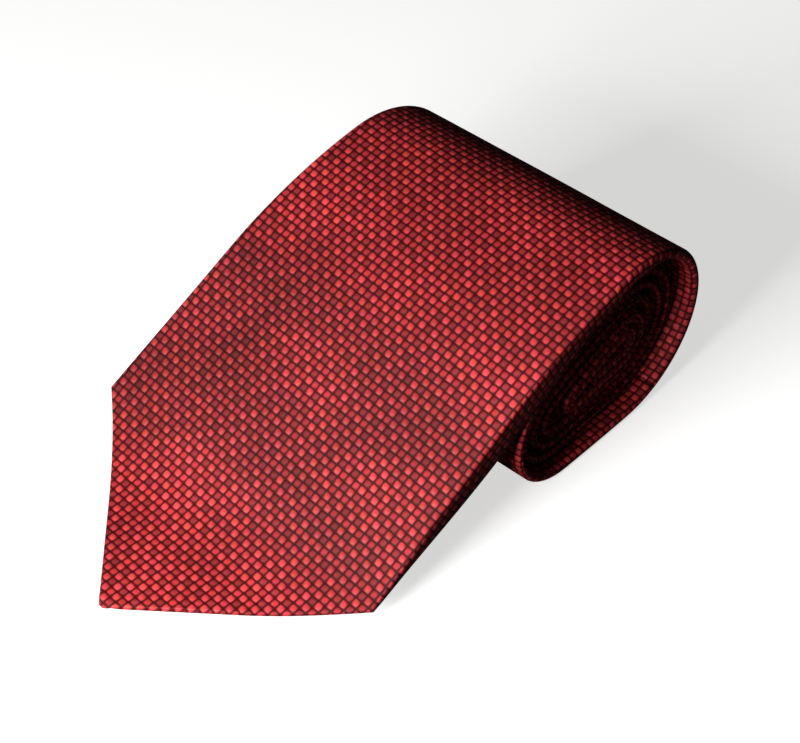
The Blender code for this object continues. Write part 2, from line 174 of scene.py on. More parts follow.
def wrap_pieces():
    """The front face from the toe to the core, as (length, curvature) pairs."""
    far_z = ROLL_RADIUS
    top_x = (TOP_RADIUS - ROLL_RADIUS) * math.sin(TOP_END_ANGLE)
    top_z = far_z - (TOP_RADIUS - ROLL_RADIUS) * math.cos(TOP_END_ANGLE)
    foot_z = top_z + TOP_RADIUS * math.cos(RAMP_ANGLE)
    toe_rise = TOE_RADIUS * (1 - math.cos(RAMP_ANGLE))
    ramp = (foot_z - HEM_THICKNESS - toe_rise) / math.sin(RAMP_ANGLE)
    pieces = [(TOE_RADIUS * RAMP_ANGLE, 1 / TOE_RADIUS), (ramp, 0.0)]
    pieces.append((TOP_RADIUS * (RAMP_ANGLE - TOP_END_ANGLE), -1 / TOP_RADIUS))
    tightest = 2 * THICKNESS + LEG_GAP + CORE_CLEARANCE
    for turn in range(TURNS):
        depth, next_depth = turn_depth(turn), turn_depth(turn + 1)
        radius = ROLL_RADIUS - depth
        near_depth = (depth + next_depth + turn_sag(turn + 1) - turn_sag(turn)) / 2
        near_radius = max(ROLL_RADIUS - ROLL_LEAN - near_depth, tightest)
        arch = TOP_RADIUS - next_depth
        drop = depth - turn_sag(turn) + near_radius - top_z + turn_sag(turn + 1)
        run = math.sqrt((arch - near_radius) ** 2 - drop ** 2)
        meet = max(math.atan2(run, drop), TOP_END_ANGLE)
        pieces.append((radius * (TOP_END_ANGLE + math.pi), -1 / radius))
        pieces.append((run - top_x, 0.0))
        pieces.append((near_radius * (math.pi - meet), -1 / near_radius))
        pieces.append((arch * (meet - TOP_END_ANGLE), -1 / arch))
    core_radius = ROLL_RADIUS - turn_depth(TURNS)
    return pieces + [(core_radius * (TOP_END_ANGLE + math.pi), -1 / core_radius), (CORE_RUN, 0.0)]


WRAP = Route((TOE_START, HEM_THICKNESS), 0.0, TOE_START, wrap_pieces())
SKEW_BEND = (ROLL_SKEW - BLADE_SKEW) / (SKEW_END - SKEW_START)
FLUSH_SKEW = -math.atan(BLADE_TAPER / 2)
NECK_START = (BLADE_WIDTH - NECK_WIDTH) / BLADE_TAPER
CENTRE = Route((-BLADE_TIP * math.cos(BLADE_SKEW), -BLADE_TIP * math.sin(BLADE_SKEW)), BLADE_SKEW,
               -BLADE_TIP, [(BLADE_TIP + SKEW_START, 0.0), (SKEW_END - SKEW_START, SKEW_BEND),
                            (FLUSH_START - SKEW_END, 0.0),
                            (FLUSH_BEND, (FLUSH_SKEW - ROLL_SKEW) / FLUSH_BEND),
                            (NECK_START - FLUSH_START - FLUSH_BEND, 0.0),
                            (FLUSH_BEND, -FLUSH_SKEW / FLUSH_BEND)])
CREST = WRAP.rows[3, 0] + ROLL_RADIUS * TOP_END_ANGLE
TIGHT_START = WRAP.rows[4, 0] - SLACK_MARGIN
LOOSE_END = TIGHT_START - SLACK_CLOSING


def smooth(start, end, low, high, value):
    """Ease from low to high while value runs from start to end."""
    share = np.clip((value - start) / (end - start), 0.0, 1.0)
    return low + (high - low) * share * share * (3 - 2 * share)


def leg_gap(along):
    return smooth(LOOSE_END, TIGHT_START, FIRST_LEG_GAP, LEG_GAP, along)


def place(along, across, depth):
    """Points at distances from the blade's shoulder, across the width and in from the front."""
    middle, side, skew = CENTRE.at(along)
    x, z, heading = WRAP.at(middle - across * np.sin(skew))
    y = side + across * np.cos(skew)
    return np.stack((x + depth * np.sin(heading), y + 0 * x, z - depth * np.cos(heading)), -1)


def place_tail(along, across, depth):
    """The same on the tail, which lies back to back with the blade."""
    return place(along, across, 2 * THICKNESS + leg_gap(along) - depth)


FOLD_CENTRE = THICKNESS + LEG_GAP / 2
FOLD_LENGTH = math.pi * FOLD_CENTRE


def place_round_fold(along, across, depth):
    """The blade's side up to the fold, round it, then the tail's side."""
    along, across, depth = np.broadcast_arrays(along, across, depth)
    past = along - FOLD_AT
    before = place(along, across, depth)
    after = place_tail(FOLD_AT - (past - FOLD_LENGTH), across, depth)
    turned = np.clip(past / FOLD_CENTRE, 0.0, math.pi)
    reach = FOLD_CENTRE - depth
    on_axis = place(np.full_like(along, FOLD_AT), across, FOLD_CENTRE - reach * np.cos(turned))
    middle, _, skew = CENTRE.at(np.array(FOLD_AT))
    heading = WRAP.at(middle - across * math.sin(skew))[2]
    ahead = np.stack((np.cos(heading), 0 * heading, np.sin(heading)), -1)
    bend = on_axis + (reach * np.sin(turned))[..., None] * ahead
    past = past[..., None]
    return np.where(past <= 0, before, np.where(past >= FOLD_LENGTH, after, bend))


def blade_half(along):
    pointed = (along + BLADE_TIP) * BLADE_WIDTH / 2 / BLADE_TIP
    return np.where(along < 0, pointed, np.maximum(BLADE_WIDTH - BLADE_TAPER * along, NECK_WIDTH) / 2)


def tail_half(along):
    past = along - TAIL_END
    pointed = past * TAIL_WIDTH / 2 / TAIL_TIP
    tapered = np.maximum(TAIL_WIDTH - TAIL_TAPER * (past - TAIL_TIP), NECK_WIDTH) / 2
    return np.where(past < TAIL_TIP, pointed, tapered)


SHIFT = np.array(frame["joints"][0]["pos_m"]) - place(np.array(CREST), np.array(0.0), np.array(0.0))


# =================================================================================================
# how each layer is folded
# =================================================================================================
def blade_thickness(along):
    """One layer thicker where the tipping is, and pinched shut at the very point."""
    full = smooth(TIPPING_END + 0.001, TIPPING_END + 0.010, HEM_THICKNESS, THICKNESS, along)
    return full * smooth(-BLADE_TIP, -BLADE_TIP + 0.0035, 0.45, 1.0, along)


def blade_edge(along):
    """Thickness of the soft folded edge, fullest where the blade hangs free above the table."""
    fuller = smooth(-0.004, 0.032, -0.0006, 0.0002, along) + smooth(0.070, 0.110, 0.0, 0.0012, along)
    calmer = smooth(0.150, 0.200, 0.0, 0.0009, along)
    return blade_thickness(along) + fuller - calmer - smooth(0.195, 0.236, 0.0, 0.0005, along)


def blade_slot(along):
    """Half the gap between the two folded-back edges."""
    half = blade_half(along)
    at_tip = half - HEM
    closing = (BLADE_WIDTH / 2 - HEM) * (1 - along / SEAM_START)
    return np.maximum(np.where(along <= 0, at_tip, closing), SEAM_SLOT / 2)


def tail_thickness(along):
    past = along - TAIL_SHOULDER
    full = smooth(TAIL_TIPPING_END + 0.001, TAIL_TIPPING_END + 0.006, HEM_THICKNESS, THICKNESS, past)
    return full * smooth(-TAIL_TIP, -TAIL_TIP + 0.0035, 0.45, 1.0, past)


def tail_slot(along):
    past = along - TAIL_SHOULDER
    closing = (TAIL_WIDTH / 2 - TAIL_HEM) * (1 - past / TAIL_SEAM_START)
    return np.maximum(np.where(past <= 0, tail_half(along) - TAIL_HEM, closing), SEAM_SLOT / 2)


def blade_droop(along):
    """How far the back of the fold hangs below it, where the blade is clear of the table."""
    return smooth(-0.008, 0.050, 0.0, 0.0068, along) - smooth(0.052, 0.118, 0.0, 0.0068, along)


def folded_shell(half, slot, thickness, edge, columns, droop=0.0):
    """Across, depth and cloth position of a shell folded round both edges to the centre back."""
    front_columns, edge_columns, back_columns = columns
    half, slot, thickness, edge, droop = (np.asarray(value, float)[..., None] + 0.0 * half[:, None]
                                          for value in (half, slot, thickness, edge, droop))
    lift = (HEM_THICKNESS - thickness) * 0.6 * (thickness < THICKNESS)
    radius = np.minimum(edge / 2, half * 0.6)
    side = half - radius
    slot = np.minimum(slot, side * 0.98)
    front = np.linspace(0.0, 1.0, front_columns)[None]
    turned = np.linspace(0.0, math.pi, edge_columns)[None, 1:]
    back = np.linspace(0.0, 1.0, back_columns)[None, 1:]
    back_across = side + (slot - side) * back
    settle = smooth(0.0, 0.022, 1.0, 0.0, side - back_across)
    across = np.concatenate((side * front, side + radius * np.sin(turned), back_across), 1)
    halves = []
    for hang in (droop, 0.3 * droop):
        lowered = hang * smooth(0.30 * math.pi, 0.70 * math.pi, 0.0, 1.0, turned)
        depth = np.concatenate((0 * side * front, edge / 2 * (1 - np.cos(turned)) + lowered,
                                thickness + (edge + hang - thickness) * settle), 1)
        steps = np.hypot(np.diff(across, axis=1), np.diff(depth, axis=1))
        halves.append((depth, np.concatenate((0 * side, np.cumsum(steps, 1)), 1)))
    (near_depth, near_cloth), (far_depth, far_cloth) = halves
    return (np.concatenate((-across[:, :0:-1], across), 1),
            np.concatenate((near_depth[:, :0:-1], far_depth), 1) + lift,
            np.concatenate((-near_cloth[:, :0:-1], far_cloth), 1))


def flat_layer(half, top, columns):
    """A flat strip of lining from edge to edge at one depth."""
    share = np.linspace(-1.0, 1.0, columns)[None]
    across = half[:, None] * share
    return across, np.full_like(across, top), across


def ease_front(along, across, depth, amount):
    """Slow, shallow unevenness of a folded silk blade, strongest on its front."""
    wander = (np.sin(across * 71 + along * 33 + 0.6) + np.sin(across * -47 + along * 58 + 2.1)
              + 0.6 * np.sin(across * 120 + along * 90 + 4.0))
    crown = 1 - np.clip(np.abs(across) / 0.045, 0, 1) ** 2
    return depth - amount * (0.55 + 0.45 * wander) * crown * (depth < SHELL)


def rows_between(start, end, step, extra=()):
    count = max(round((end - start) / step), 2)
    return np.unique(np.round(np.concatenate((np.linspace(start, end, count + 1), extra)), 7))


def tip_rows(start, shoulder, end, step):
    """Rows that crowd together at the point and fall on the shoulder's corner."""
    nose = start + 0.004 * np.linspace(0.0, 1.0, 9) ** 1.6
    return np.concatenate((nose[:-1], rows_between(nose[-1], shoulder, step)[:-1],
                           rows_between(shoulder, end, step)))


# =================================================================================================
# making the pieces
# =================================================================================================
def apply_modifiers(piece):
    bpy.ops.object.select_all(action="DESELECT")
    bpy.context.view_layer.objects.active = piece
    piece.select_set(True)
    for modifier in list(piece.modifiers):
        bpy.ops.object.modifier_apply(modifier=modifier.name)


def mesh_piece(name, points, faces, weave=None):
    """A piece from rows of points, with its cloth position as a UV map counted in weave squares."""
    data = bpy.data.meshes.new(name)
    data.from_pydata(points, [], faces)
    data.update()
    if weave is not None:
        layer = data.uv_layers.new(name="weave")
        corners = np.empty(len(data.loops), np.int32)
        data.loops.foreach_get("vertex_index", corners)
        layer.data.foreach_set("uv", weave[corners].astype(np.float32).ravel())
    piece = bpy.data.objects.new(name, data)
    bpy.context.scene.collection.objects.link(piece)
    data.polygons.foreach_set("use_smooth", np.ones(len(data.polygons), bool))
    return piece


def grid_faces(rows, columns, ring=False):
    i, j = np.meshgrid(np.arange(rows - 1), np.arange(columns if ring else columns - 1), indexing="ij")
    after = (j + 1) % columns
    corners = (i * columns + j, (i + 1) * columns + j, (i + 1) * columns + after, i * columns + after)
    return np.stack(corners, -1).reshape(-1, 4).tolist()


def lay_cloth(name, along, section, put, thick, finish, fuller=0.0):
    """One layer of cloth: a cross-section laid at each row, then given its thickness inwards."""
    across, depth, cloth = section
    if fuller:
        depth = ease_front(along[:, None], across, depth, fuller)
    points = put(along[:, None] + 0 * across, across, depth) + SHIFT
    rows, columns = across.shape
    weave = np.stack((cloth, along[:, None] + 0 * cloth), -1).reshape(-1, 2) / SQUARE
    piece = mesh_piece(name, points.reshape(-1, 3).tolist(), grid_faces(rows, columns), weave)
    solid = piece.modifiers.new("cloth thickness", "SOLIDIFY")
    solid.thickness = thick
    solid.offset = -1.0
    apply_modifiers(piece)
    piece.data.materials.append(finish)
    return piece


def lifts_with_blade(piece):
    """Bakes the piece's world placement into its mesh."""
    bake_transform(piece)


def thread_run(name, points, radius, finish, sides=6):
    """A round thread along a line of points, with closed ends."""
    points = np.asarray(points, float)
    ahead = np.gradient(points, axis=0)
    ahead /= np.linalg.norm(ahead, axis=1)[:, None]
    beside = np.cross(ahead, np.array((0.02, 0.99, 0.13)))
    beside /= np.linalg.norm(beside, axis=1)[:, None] + 1e-12
    above = np.cross(ahead, beside)
    turn = np.linspace(0, 2 * math.pi, sides, endpoint=False)
    rings = points[:, None] + radius * (np.cos(turn)[None, :, None] * beside[:, None]
                                        + np.sin(turn)[None, :, None] * above[:, None])
    count = len(points)
    faces = grid_faces(count, sides, ring=True)
    faces += [list(range(sides)), [(count - 1) * sides + side for side in reversed(range(sides))]]
    lengths = np.concatenate(((0.0,), np.cumsum(np.linalg.norm(np.diff(points, axis=0), axis=1))))
    weave = np.stack(np.broadcast_arrays(turn[None] / math.tau, lengths[:, None] / SQUARE), -1)
    piece = mesh_piece(name, rings.reshape(-1, 3).tolist(), faces, weave.reshape(-1, 2))
    mesh_normals_out(piece)
    piece.data.materials.append(finish)
    return piece


def mesh_normals_out(piece):
    bpy.ops.object.select_all(action="DESELECT")
    bpy.context.view_layer.objects.active = piece
    piece.select_set(True)
    bpy.ops.object.mode_set(mode="EDIT")
    bpy.ops.mesh.select_all(action="SELECT")
    bpy.ops.mesh.normals_make_consistent(inside=False)
    bpy.ops.object.mode_set(mode="OBJECT")


def join_pieces(name, pieces):
    bpy.ops.object.select_all(action="DESELECT")
    for piece in pieces:
        piece.select_set(True)
    bpy.context.view_layer.objects.active = pieces[0]
    bpy.ops.object.join()
    pieces[0].name = name
    pieces[0].data.name = name
    return pieces[0]


# =================================================================================================
# finishes
# =================================================================================================
def new_group(name, inputs, outputs):
    group = bpy.data.node_groups.new(name, "ShaderNodeTree")
    for socket, kind, value in inputs:
        made = group.interface.new_socket(socket, in_out="INPUT", socket_type=kind)
        if value is not None:
            made.default_value = value
    for socket, kind in outputs:
        group.interface.new_socket(socket, in_out="OUTPUT", socket_type=kind)
    return group, group.nodes.new("NodeGroupInput"), group.nodes.new("NodeGroupOutput")


class Wiring:
    """Short ways to add and join the nodes of one tree."""

    def __init__(self, tree):
        self.tree = tree

    def feed(self, socket, value):
        if hasattr(value, "is_output"):
            self.tree.links.new(value, socket)
        else:
            socket.default_value = value

    def math(self, operation, *values, clamp=False):
        node = self.tree.nodes.new("ShaderNodeMath")
        node.operation = operation
        node.use_clamp = clamp
        for socket, value in zip(node.inputs, values):
            self.feed(socket, value)
        return node.outputs[0]

    def ease(self, value, start, end, low=0.0, high=1.0):
        node = self.tree.nodes.new("ShaderNodeMapRange")
        node.interpolation_type = "SMOOTHSTEP"
        for name, given in (("Value", value), ("From Min", start), ("From Max", end),
                            ("To Min", low), ("To Max", high)):
            self.feed(node.inputs[name], given)
        return node.outputs["Result"]

    def mix(self, share, first, second, blend="MIX"):
        node = self.tree.nodes.new("ShaderNodeMix")
        node.data_type = "RGBA"
        node.blend_type = blend
        self.feed(node.inputs["Factor"], share)
        self.feed(node.inputs[6], first)
        self.feed(node.inputs[7], second)
        return node.outputs[2]

    def noise(self, vector, scale, detail=2.0, roughness=0.5):
        node = self.tree.nodes.new("ShaderNodeTexNoise")
        self.feed(node.inputs["Vector"], vector)
        node.inputs["Scale"].default_value = scale
        node.inputs["Detail"].default_value = detail
        node.inputs["Roughness"].default_value = roughness
        return node.outputs["Fac"]

    def cell(self, x, y):
        combine = self.tree.nodes.new("ShaderNodeCombineXYZ")
        self.feed(combine.inputs[0], x)
        self.feed(combine.inputs[1], y)
        node = self.tree.nodes.new("ShaderNodeTexWhiteNoise")
        node.noise_dimensions = "2D"
        self.feed(node.inputs["Vector"], combine.outputs[0])
        return node.outputs["Value"]

    def hue(self, colour, hue, saturation, value):
        node = self.tree.nodes.new("ShaderNodeHueSaturation")
        for name, given in (("Hue", hue), ("Saturation", saturation), ("Value", value), ("Color", colour)):
            self.feed(node.inputs[name], given)
        return node.outputs[0]


def cushion(wire, share, sharpness):
    """1 in the middle of a square and 0 at its border, along one direction."""
    centred = wire.math("ABSOLUTE", wire.math("MULTIPLY_ADD", share, 2.0, -1.0))
    return wire.math("SUBTRACT", 1.0, wire.math("POWER", centred, sharpness))


def build_weave_group():
    """The woven micro-check: bright squares in a checker, the rest mid red and maroon in turn."""
    group, given, result = new_group(
        "micro check weave",
        [("Weave", "NodeSocketVector", None), ("Bright", "NodeSocketColor", (1, 1, 1, 1)),
         ("Middle", "NodeSocketColor", (1, 1, 1, 1)), ("Dark", "NodeSocketColor", (1, 1, 1, 1)),
         ("Line", "NodeSocketColor", (1, 1, 1, 1))],
        [("Color", "NodeSocketColor"), ("Height", "NodeSocketFloat"), ("Gloss", "NodeSocketFloat")])
    wire = Wiring(group)
    split = group.nodes.new("ShaderNodeSeparateXYZ")
    wire.feed(split.inputs[0], given.outputs["Weave"])
    u, v = split.outputs[0], split.outputs[1]
    row, column = wire.math("FLOOR", v), wire.math("FLOOR", u)
    fu, fv = wire.math("FRACT", u), wire.math("FRACT", v)
    odd = wire.math("FLOORED_MODULO", wire.math("ADD", row, column), 2.0)
    odd_column = wire.math("FLOORED_MODULO", column, 2.0)
    height = wire.math("MULTIPLY", cushion(wire, fu, 2.2), cushion(wire, fv, 2.2))
    line = wire.ease(height, wire.math("MULTIPLY", odd, 0.10), wire.math("MULTIPLY_ADD", odd, 0.12, 0.80))
    one_way = wire.math("COSINE", wire.math("MULTIPLY", wire.math("SUBTRACT", u, v), math.pi))
    other_way = wire.math("COSINE", wire.math("MULTIPLY_ADD", wire.math("ADD", u, v), math.pi, -math.pi))
    twill = wire.math("MULTIPLY_ADD", one_way, 0.14, wire.math("MULTIPLY_ADD", other_way, -0.12, 1.0))
    chance = wire.cell(column, row)
    other = wire.cell(wire.math("ADD", column, 37.0), wire.math("ADD", row, 11.0))
    ribs = wire.math("SINE", wire.math("MULTIPLY", u, math.tau * 9))
    cross_ribs = wire.math("SINE", wire.math("MULTIPLY", v, math.tau * 9))
    threads = wire.math("ADD", wire.math("MULTIPLY", ribs, wire.math("SUBTRACT", 1.0, odd)),
                        wire.math("MULTIPLY", cross_ribs, odd))
    plain = wire.mix(odd, given.outputs["Bright"],
                     wire.mix(odd_column, given.outputs["Middle"], given.outputs["Dark"]))
    varied = wire.hue(plain, wire.ease(chance, 0.0, 1.0, 0.498, 0.5025), 1.0,
                      wire.ease(other, 0.0, 1.0, 0.84, 1.16))
    lit = wire.math("MULTIPLY_ADD", threads, 0.06, 1.0)
    threaded = wire.hue(varied, 0.5, 1.0, wire.math("MULTIPLY", lit, twill))
    wire.feed(result.inputs["Color"], wire.mix(line, given.outputs["Line"], threaded))
    relief = wire.math("MULTIPLY", height, wire.math("MULTIPLY_ADD", odd, -0.35, 1.0))
    wire.feed(result.inputs["Height"], wire.math("MULTIPLY_ADD", threads, 0.05, relief))
    wire.feed(result.inputs["Gloss"], wire.math("MULTIPLY", line, wire.math("SUBTRACT", 1.0, odd)))
    return group


def new_material(name, roughness, **shader_values):
    made = bpy.data.materials.new(name)
    made.use_nodes = True
    shader = made.node_tree.nodes["Principled BSDF"]
    shader.inputs["Roughness"].default_value = roughness
    for socket, value in shader_values.items():
        shader.inputs[socket.replace("_", " ")].default_value = value
    return made, Wiring(made.node_tree), shader


def bump(wire, shader, height, distance, strength=1.0):
    node = wire.tree.nodes.new("ShaderNodeBump")
    node.inputs["Strength"].default_value = strength
    node.inputs["Distance"].default_value = distance
    wire.feed(node.inputs["Height"], height)
    wire.feed(shader.inputs["Normal"], node.outputs[0])


def coordinates(wire):
    return wire.tree.nodes.new("ShaderNodeTexCoord")


def silk_material(weave_group):
    made, wire, shader = new_material("woven micro-check silk", 0.42, Sheen_Weight=0.08,
                                      Sheen_Roughness=0.35, Sheen_Tint=(1.0, 0.25, 0.25, 1.0),
                                      Specular_IOR_Level=0.22)
    where = coordinates(wire)
    weave = wire.tree.nodes.new("ShaderNodeGroup")
    weave.node_tree = weave_group
    wire.feed(weave.inputs["Weave"], where.outputs["UV"])
    weave.inputs["Bright"].default_value = (0.80, 0.062, 0.068, 1)
    weave.inputs["Middle"].default_value = (0.63, 0.036, 0.044, 1)
    weave.inputs["Dark"].default_value = (0.38, 0.028, 0.034, 1)
    weave.inputs["Line"].default_value = (0.055, 0.001, 0.002, 1)
    split = wire.tree.nodes.new("ShaderNodeSeparateXYZ")
    wire.feed(split.inputs[0], where.outputs["UV"])
    side, run = split.outputs[0], split.outputs[1]
    # painted shade: the silk's value drops on the lower ramp and comes back further up, standing in for how
    # the light falls there
    painted_shade_lift = wire.ease(run, 20.0, 34.0, 0.0, RAMP_PAINTED_SHADE_LIFT)
    painted_ramp_shade = wire.math("SUBTRACT", painted_shade_lift, wire.ease(run, -6.0, 5.0, 0.0, RAMP_PAINTED_SHADE))
    cloudy = wire.ease(wire.noise(where.outputs["Object"], 38.0), 0.35, 0.65, 0.88, 1.20)
    # painted shade: darker towards one side across the blade, fading out further up the ramp
    painted_side_shade_across = wire.ease(side, 4.0, 20.0, 0.0, -SIDE_PAINTED_SHADE)
    painted_side_shade = wire.math("MULTIPLY", painted_side_shade_across, wire.ease(run, 24.0, 38.0, 1.0, 0.0))
    # random tone from the noise plus the painted shade above, given as a change of the silk's value
    tone_and_painted_shade = wire.math("ADD", cloudy, wire.math("ADD", painted_ramp_shade, painted_side_shade))
    wire.feed(shader.inputs["Base Color"], wire.hue(weave.outputs["Color"], 0.5, 1.0, tone_and_painted_shade))
    wire.feed(shader.inputs["Roughness"], wire.ease(weave.outputs["Gloss"], 0.0, 1.0, 0.58, 0.36))
    bump(wire, shader, weave.outputs["Height"], 0.00022)
    return made


def wool_material():
    made, wire, shader = new_material("brushed wool interlining", 0.95, Sheen_Weight=0.3)
    where = coordinates(wire)
    fuzz = wire.noise(where.outputs["Object"], 900.0, 5.0, 0.7)
    weave = wire.noise(where.outputs["UV"], 3.0, 4.0, 0.6)
    colour = wire.mix(fuzz, (0.44, 0.40, 0.33, 1), (0.74, 0.70, 0.61, 1))
    fibres = wire.mix(wire.ease(weave, 0.3, 0.7), colour, (0.60, 0.55, 0.46, 1))
    wire.feed(shader.inputs["Base Color"], fibres)
    bump(wire, shader, fuzz, 0.0003)
    return made


def satin_threads(wire, where, across_count, along_count):
    """Fine woven ribs in both directions, as a height."""
    split = wire.tree.nodes.new("ShaderNodeSeparateXYZ")
    wire.feed(split.inputs[0], where.outputs["UV"])
    warp = wire.math("SINE", wire.math("MULTIPLY", split.outputs[0], math.tau * across_count))
    weft = wire.math("SINE", wire.math("MULTIPLY", split.outputs[1], math.tau * along_count))
    return wire.math("MULTIPLY_ADD", wire.math("MULTIPLY", warp, weft), 0.5, 0.5)


def lining_material(name, dark, light, roughness, across_count, along_count):
    made, wire, shader = new_material(name, roughness, Sheen_Weight=0.15)
    where = coordinates(wire)
    height = satin_threads(wire, where, across_count, along_count)
    cloudy = wire.noise(where.outputs["Object"], 60.0, 3.0)
    shade = wire.math("ADD", wire.math("MULTIPLY", height, 0.6), wire.math("MULTIPLY", cloudy, 0.4))
    wire.feed(shader.inputs["Base Color"], wire.mix(shade, dark, light))
    wire.feed(shader.inputs["Roughness"], wire.ease(cloudy, 0.3, 0.7, roughness - 0.08, roughness + 0.08))
    bump(wire, shader, height, 0.00006)
    return made


def thread_material():
    made, wire, shader = new_material("twisted sewing thread", 0.55, Sheen_Weight=0.2)
    where = coordinates(wire)
    split = wire.tree.nodes.new("ShaderNodeSeparateXYZ")
    wire.feed(split.inputs[0], where.outputs["UV"])
    twist = wire.math("ADD", wire.math("MULTIPLY", split.outputs[0], 2.0),
                      wire.math("MULTIPLY", split.outputs[1], 4.0))
    plies = wire.math("MULTIPLY_ADD", wire.math("SINE", wire.math("MULTIPLY", twist, math.tau)), 0.5, 0.5)
    twisted = wire.mix(plies, (0.14, 0.008, 0.012, 1), (0.42, 0.035, 0.040, 1))
    wire.feed(shader.inputs["Base Color"], twisted)
    bump(wire, shader, plies, 0.00006)
    return made


def seam_material():
    """Carried-over seam rings: a grainy dark red thread colour and bump, on object coordinates."""
    made, wire, shader = new_material("joining seam thread", 0.6, Sheen_Weight=0.2)
    where = coordinates(wire)
    grain = wire.noise(where.outputs["Object"], 1500.0, 3.0)
    wire.feed(shader.inputs["Base Color"], wire.mix(grain, (0.10, 0.006, 0.010, 1), (0.36, 0.03, 0.035, 1)))
    bump(wire, shader, grain, 0.0001)
    return made


# =================================================================================================
# the blade, the neck and the tail
# =================================================================================================
BLADE_COLUMNS = (44, 16, 30)
NARROW_COLUMNS = (20, 8, 18)


def blade_section(along, columns):
    return folded_shell(blade_half(along), blade_slot(along), blade_thickness(along), blade_edge(along),
                        columns, blade_droop(along))


def make_blade(silk, wool, lining):
    along = tip_rows(-BLADE_TIP + 0.0006, 0.0, CUT_AT, 0.0012)
    shell = lay_cloth("blade_shell", along, blade_section(along, BLADE_COLUMNS), place, SHELL, silk,
                      fuller=0.00022)
    lifts_with_blade(shell)
    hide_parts("blade_shell_free")
    start = -BLADE_TIP + 2 * LAYER_INSET * BLADE_TIP / (BLADE_WIDTH / 2)
    along = rows_between(start, CUT_AT, 0.002)
    wadding = lay_cloth("blade_interlining", along,
                        flat_layer(blade_half(along) - LAYER_INSET, LINING_TOP, 40),
                        place, INTERLINING, wool)
    lifts_with_blade(wadding)
    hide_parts("blade_interlining_free")
    along = rows_between(start, TIPPING_END, 0.002, (0.0,))
    tipping = lay_cloth("blade_tipping_lining", along,
                        flat_layer(blade_half(along) - LAYER_INSET, TIPPING_TOP, 40),
                        place, TIPPING, lining)
    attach(tipping, "free_blade")
    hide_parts("blade_tipping")


def make_rolled_cloth(silk, wool, lining):
    """What stays in the roll: the rest of the blade, the neck round the fold, and the tail."""
    along = rows_between(CUT_AT, NECK_JOIN - JOIN_GAP, 0.0022)
    rolled = lay_cloth("rolled_blade_shell", along, blade_section(along, (30, 8, 24)), place, SHELL, silk)
    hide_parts("blade_shell_rolled")
    end = 2 * FOLD_AT + FOLD_LENGTH - (TAIL_JOIN + JOIN_GAP)
    along = np.concatenate((rows_between(NECK_JOIN + JOIN_GAP, FOLD_AT, 0.0022)[:-1],
                            rows_between(FOLD_AT, FOLD_AT + FOLD_LENGTH, 0.0005)[:-1],
                            rows_between(FOLD_AT + FOLD_LENGTH, end, 0.0022)))
    half = np.where(along < FOLD_AT, blade_half(along), NECK_WIDTH / 2)
    level = np.full_like(along, THICKNESS)
    slot = np.full_like(along, SEAM_SLOT / 2)
    neck = lay_cloth("neck_piece_shell", along, folded_shell(half, slot, level, level, NARROW_COLUMNS),
                     place_round_fold, SHELL, silk)
    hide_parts("neck_shell")
    along = tip_rows(TAIL_END + 0.0006, TAIL_SHOULDER, TAIL_JOIN - JOIN_GAP, 0.0022)
    thickness = tail_thickness(along)
    tail = lay_cloth("tail_piece_shell", along,
                     folded_shell(tail_half(along), tail_slot(along), thickness, thickness, NARROW_COLUMNS),
                     place_tail, SHELL, silk)
    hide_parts("tail_shell")
    along = rows_between(CUT_AT, LINING_JOIN, 0.003)
    wadding = lay_cloth("rolled_blade_interlining", along,
                        flat_layer(blade_half(along) - LAYER_INSET, LINING_TOP, 24),
                        place, INTERLINING, wool)
    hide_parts("blade_interlining_rolled")
    start = TAIL_END + 2 * LAYER_INSET * TAIL_TIP / (TAIL_WIDTH / 2)
    along = np.concatenate((rows_between(LINING_JOIN + GAP, FOLD_AT, 0.003)[:-1],
                            rows_between(FOLD_AT, FOLD_AT + FOLD_LENGTH, 0.0005)[:-1],
                            rows_between(FOLD_AT + FOLD_LENGTH, 2 * FOLD_AT + FOLD_LENGTH - start, 0.003)))
    past = along - FOLD_AT - FOLD_LENGTH
    half = np.where(past > 0, tail_half(FOLD_AT - past), np.where(along < FOLD_AT, blade_half(along),
                                                                   NECK_WIDTH / 2)) - LAYER_INSET
    tail_wadding = lay_cloth("tail_interlining_strip", along, flat_layer(half, LINING_TOP, 20),
                             place_round_fold, INTERLINING, wool)
    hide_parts("tail_interlining")
    along = rows_between(start, TAIL_SHOULDER + TAIL_TIPPING_END, 0.002, (TAIL_SHOULDER,))
    tipping = lay_cloth("tail_tipping_lining", along,
                        flat_layer(tail_half(along) - LAYER_INSET, TIPPING_TOP, 20), place_tail, TIPPING,
                        lining)
    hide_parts("tail_tipping")
    for piece in (rolled, neck, tail, wadding, tail_wadding, tipping):
        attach(piece, "roll")


# =================================================================================================
# stitches, keeper loop and labels
# =================================================================================================
STITCH_PITCH = 0.0075


def slip_stitch_line(start, end, back):
    """The thread that closes the back, weaving from one folded edge to the other."""
    along = np.arange(start, end, 0.0009)
    across = 0.0010 * np.sin(along * math.tau / STITCH_PITCH)
    return along, across, back(along) + THREAD * 0.4


def make_stitches(thread):
    along, across, depth = slip_stitch_line(SEAM_START, CUT_AT, blade_thickness)
    free = thread_run("slip_stitch", place(along, across, depth) + SHIFT, THREAD, thread)
    lifts_with_blade(free)
    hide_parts("slip_stitch_free")
    end = 2 * FOLD_AT + FOLD_LENGTH - (TAIL_SHOULDER + TAIL_SEAM_START)
    along, across, depth = slip_stitch_line(CUT_AT + GAP, end, lambda value: np.full_like(value, THICKNESS))
    depth = depth - 1.1 * THREAD * (along > FOLD_AT - 0.25) * (along < FOLD_AT + 0.25)
    rolled = thread_run("rolled_slip_stitch", place_round_fold(along, across, depth) + SHIFT,
                        THREAD, thread)
    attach(rolled, "roll")
    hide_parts("slip_stitch_rolled")


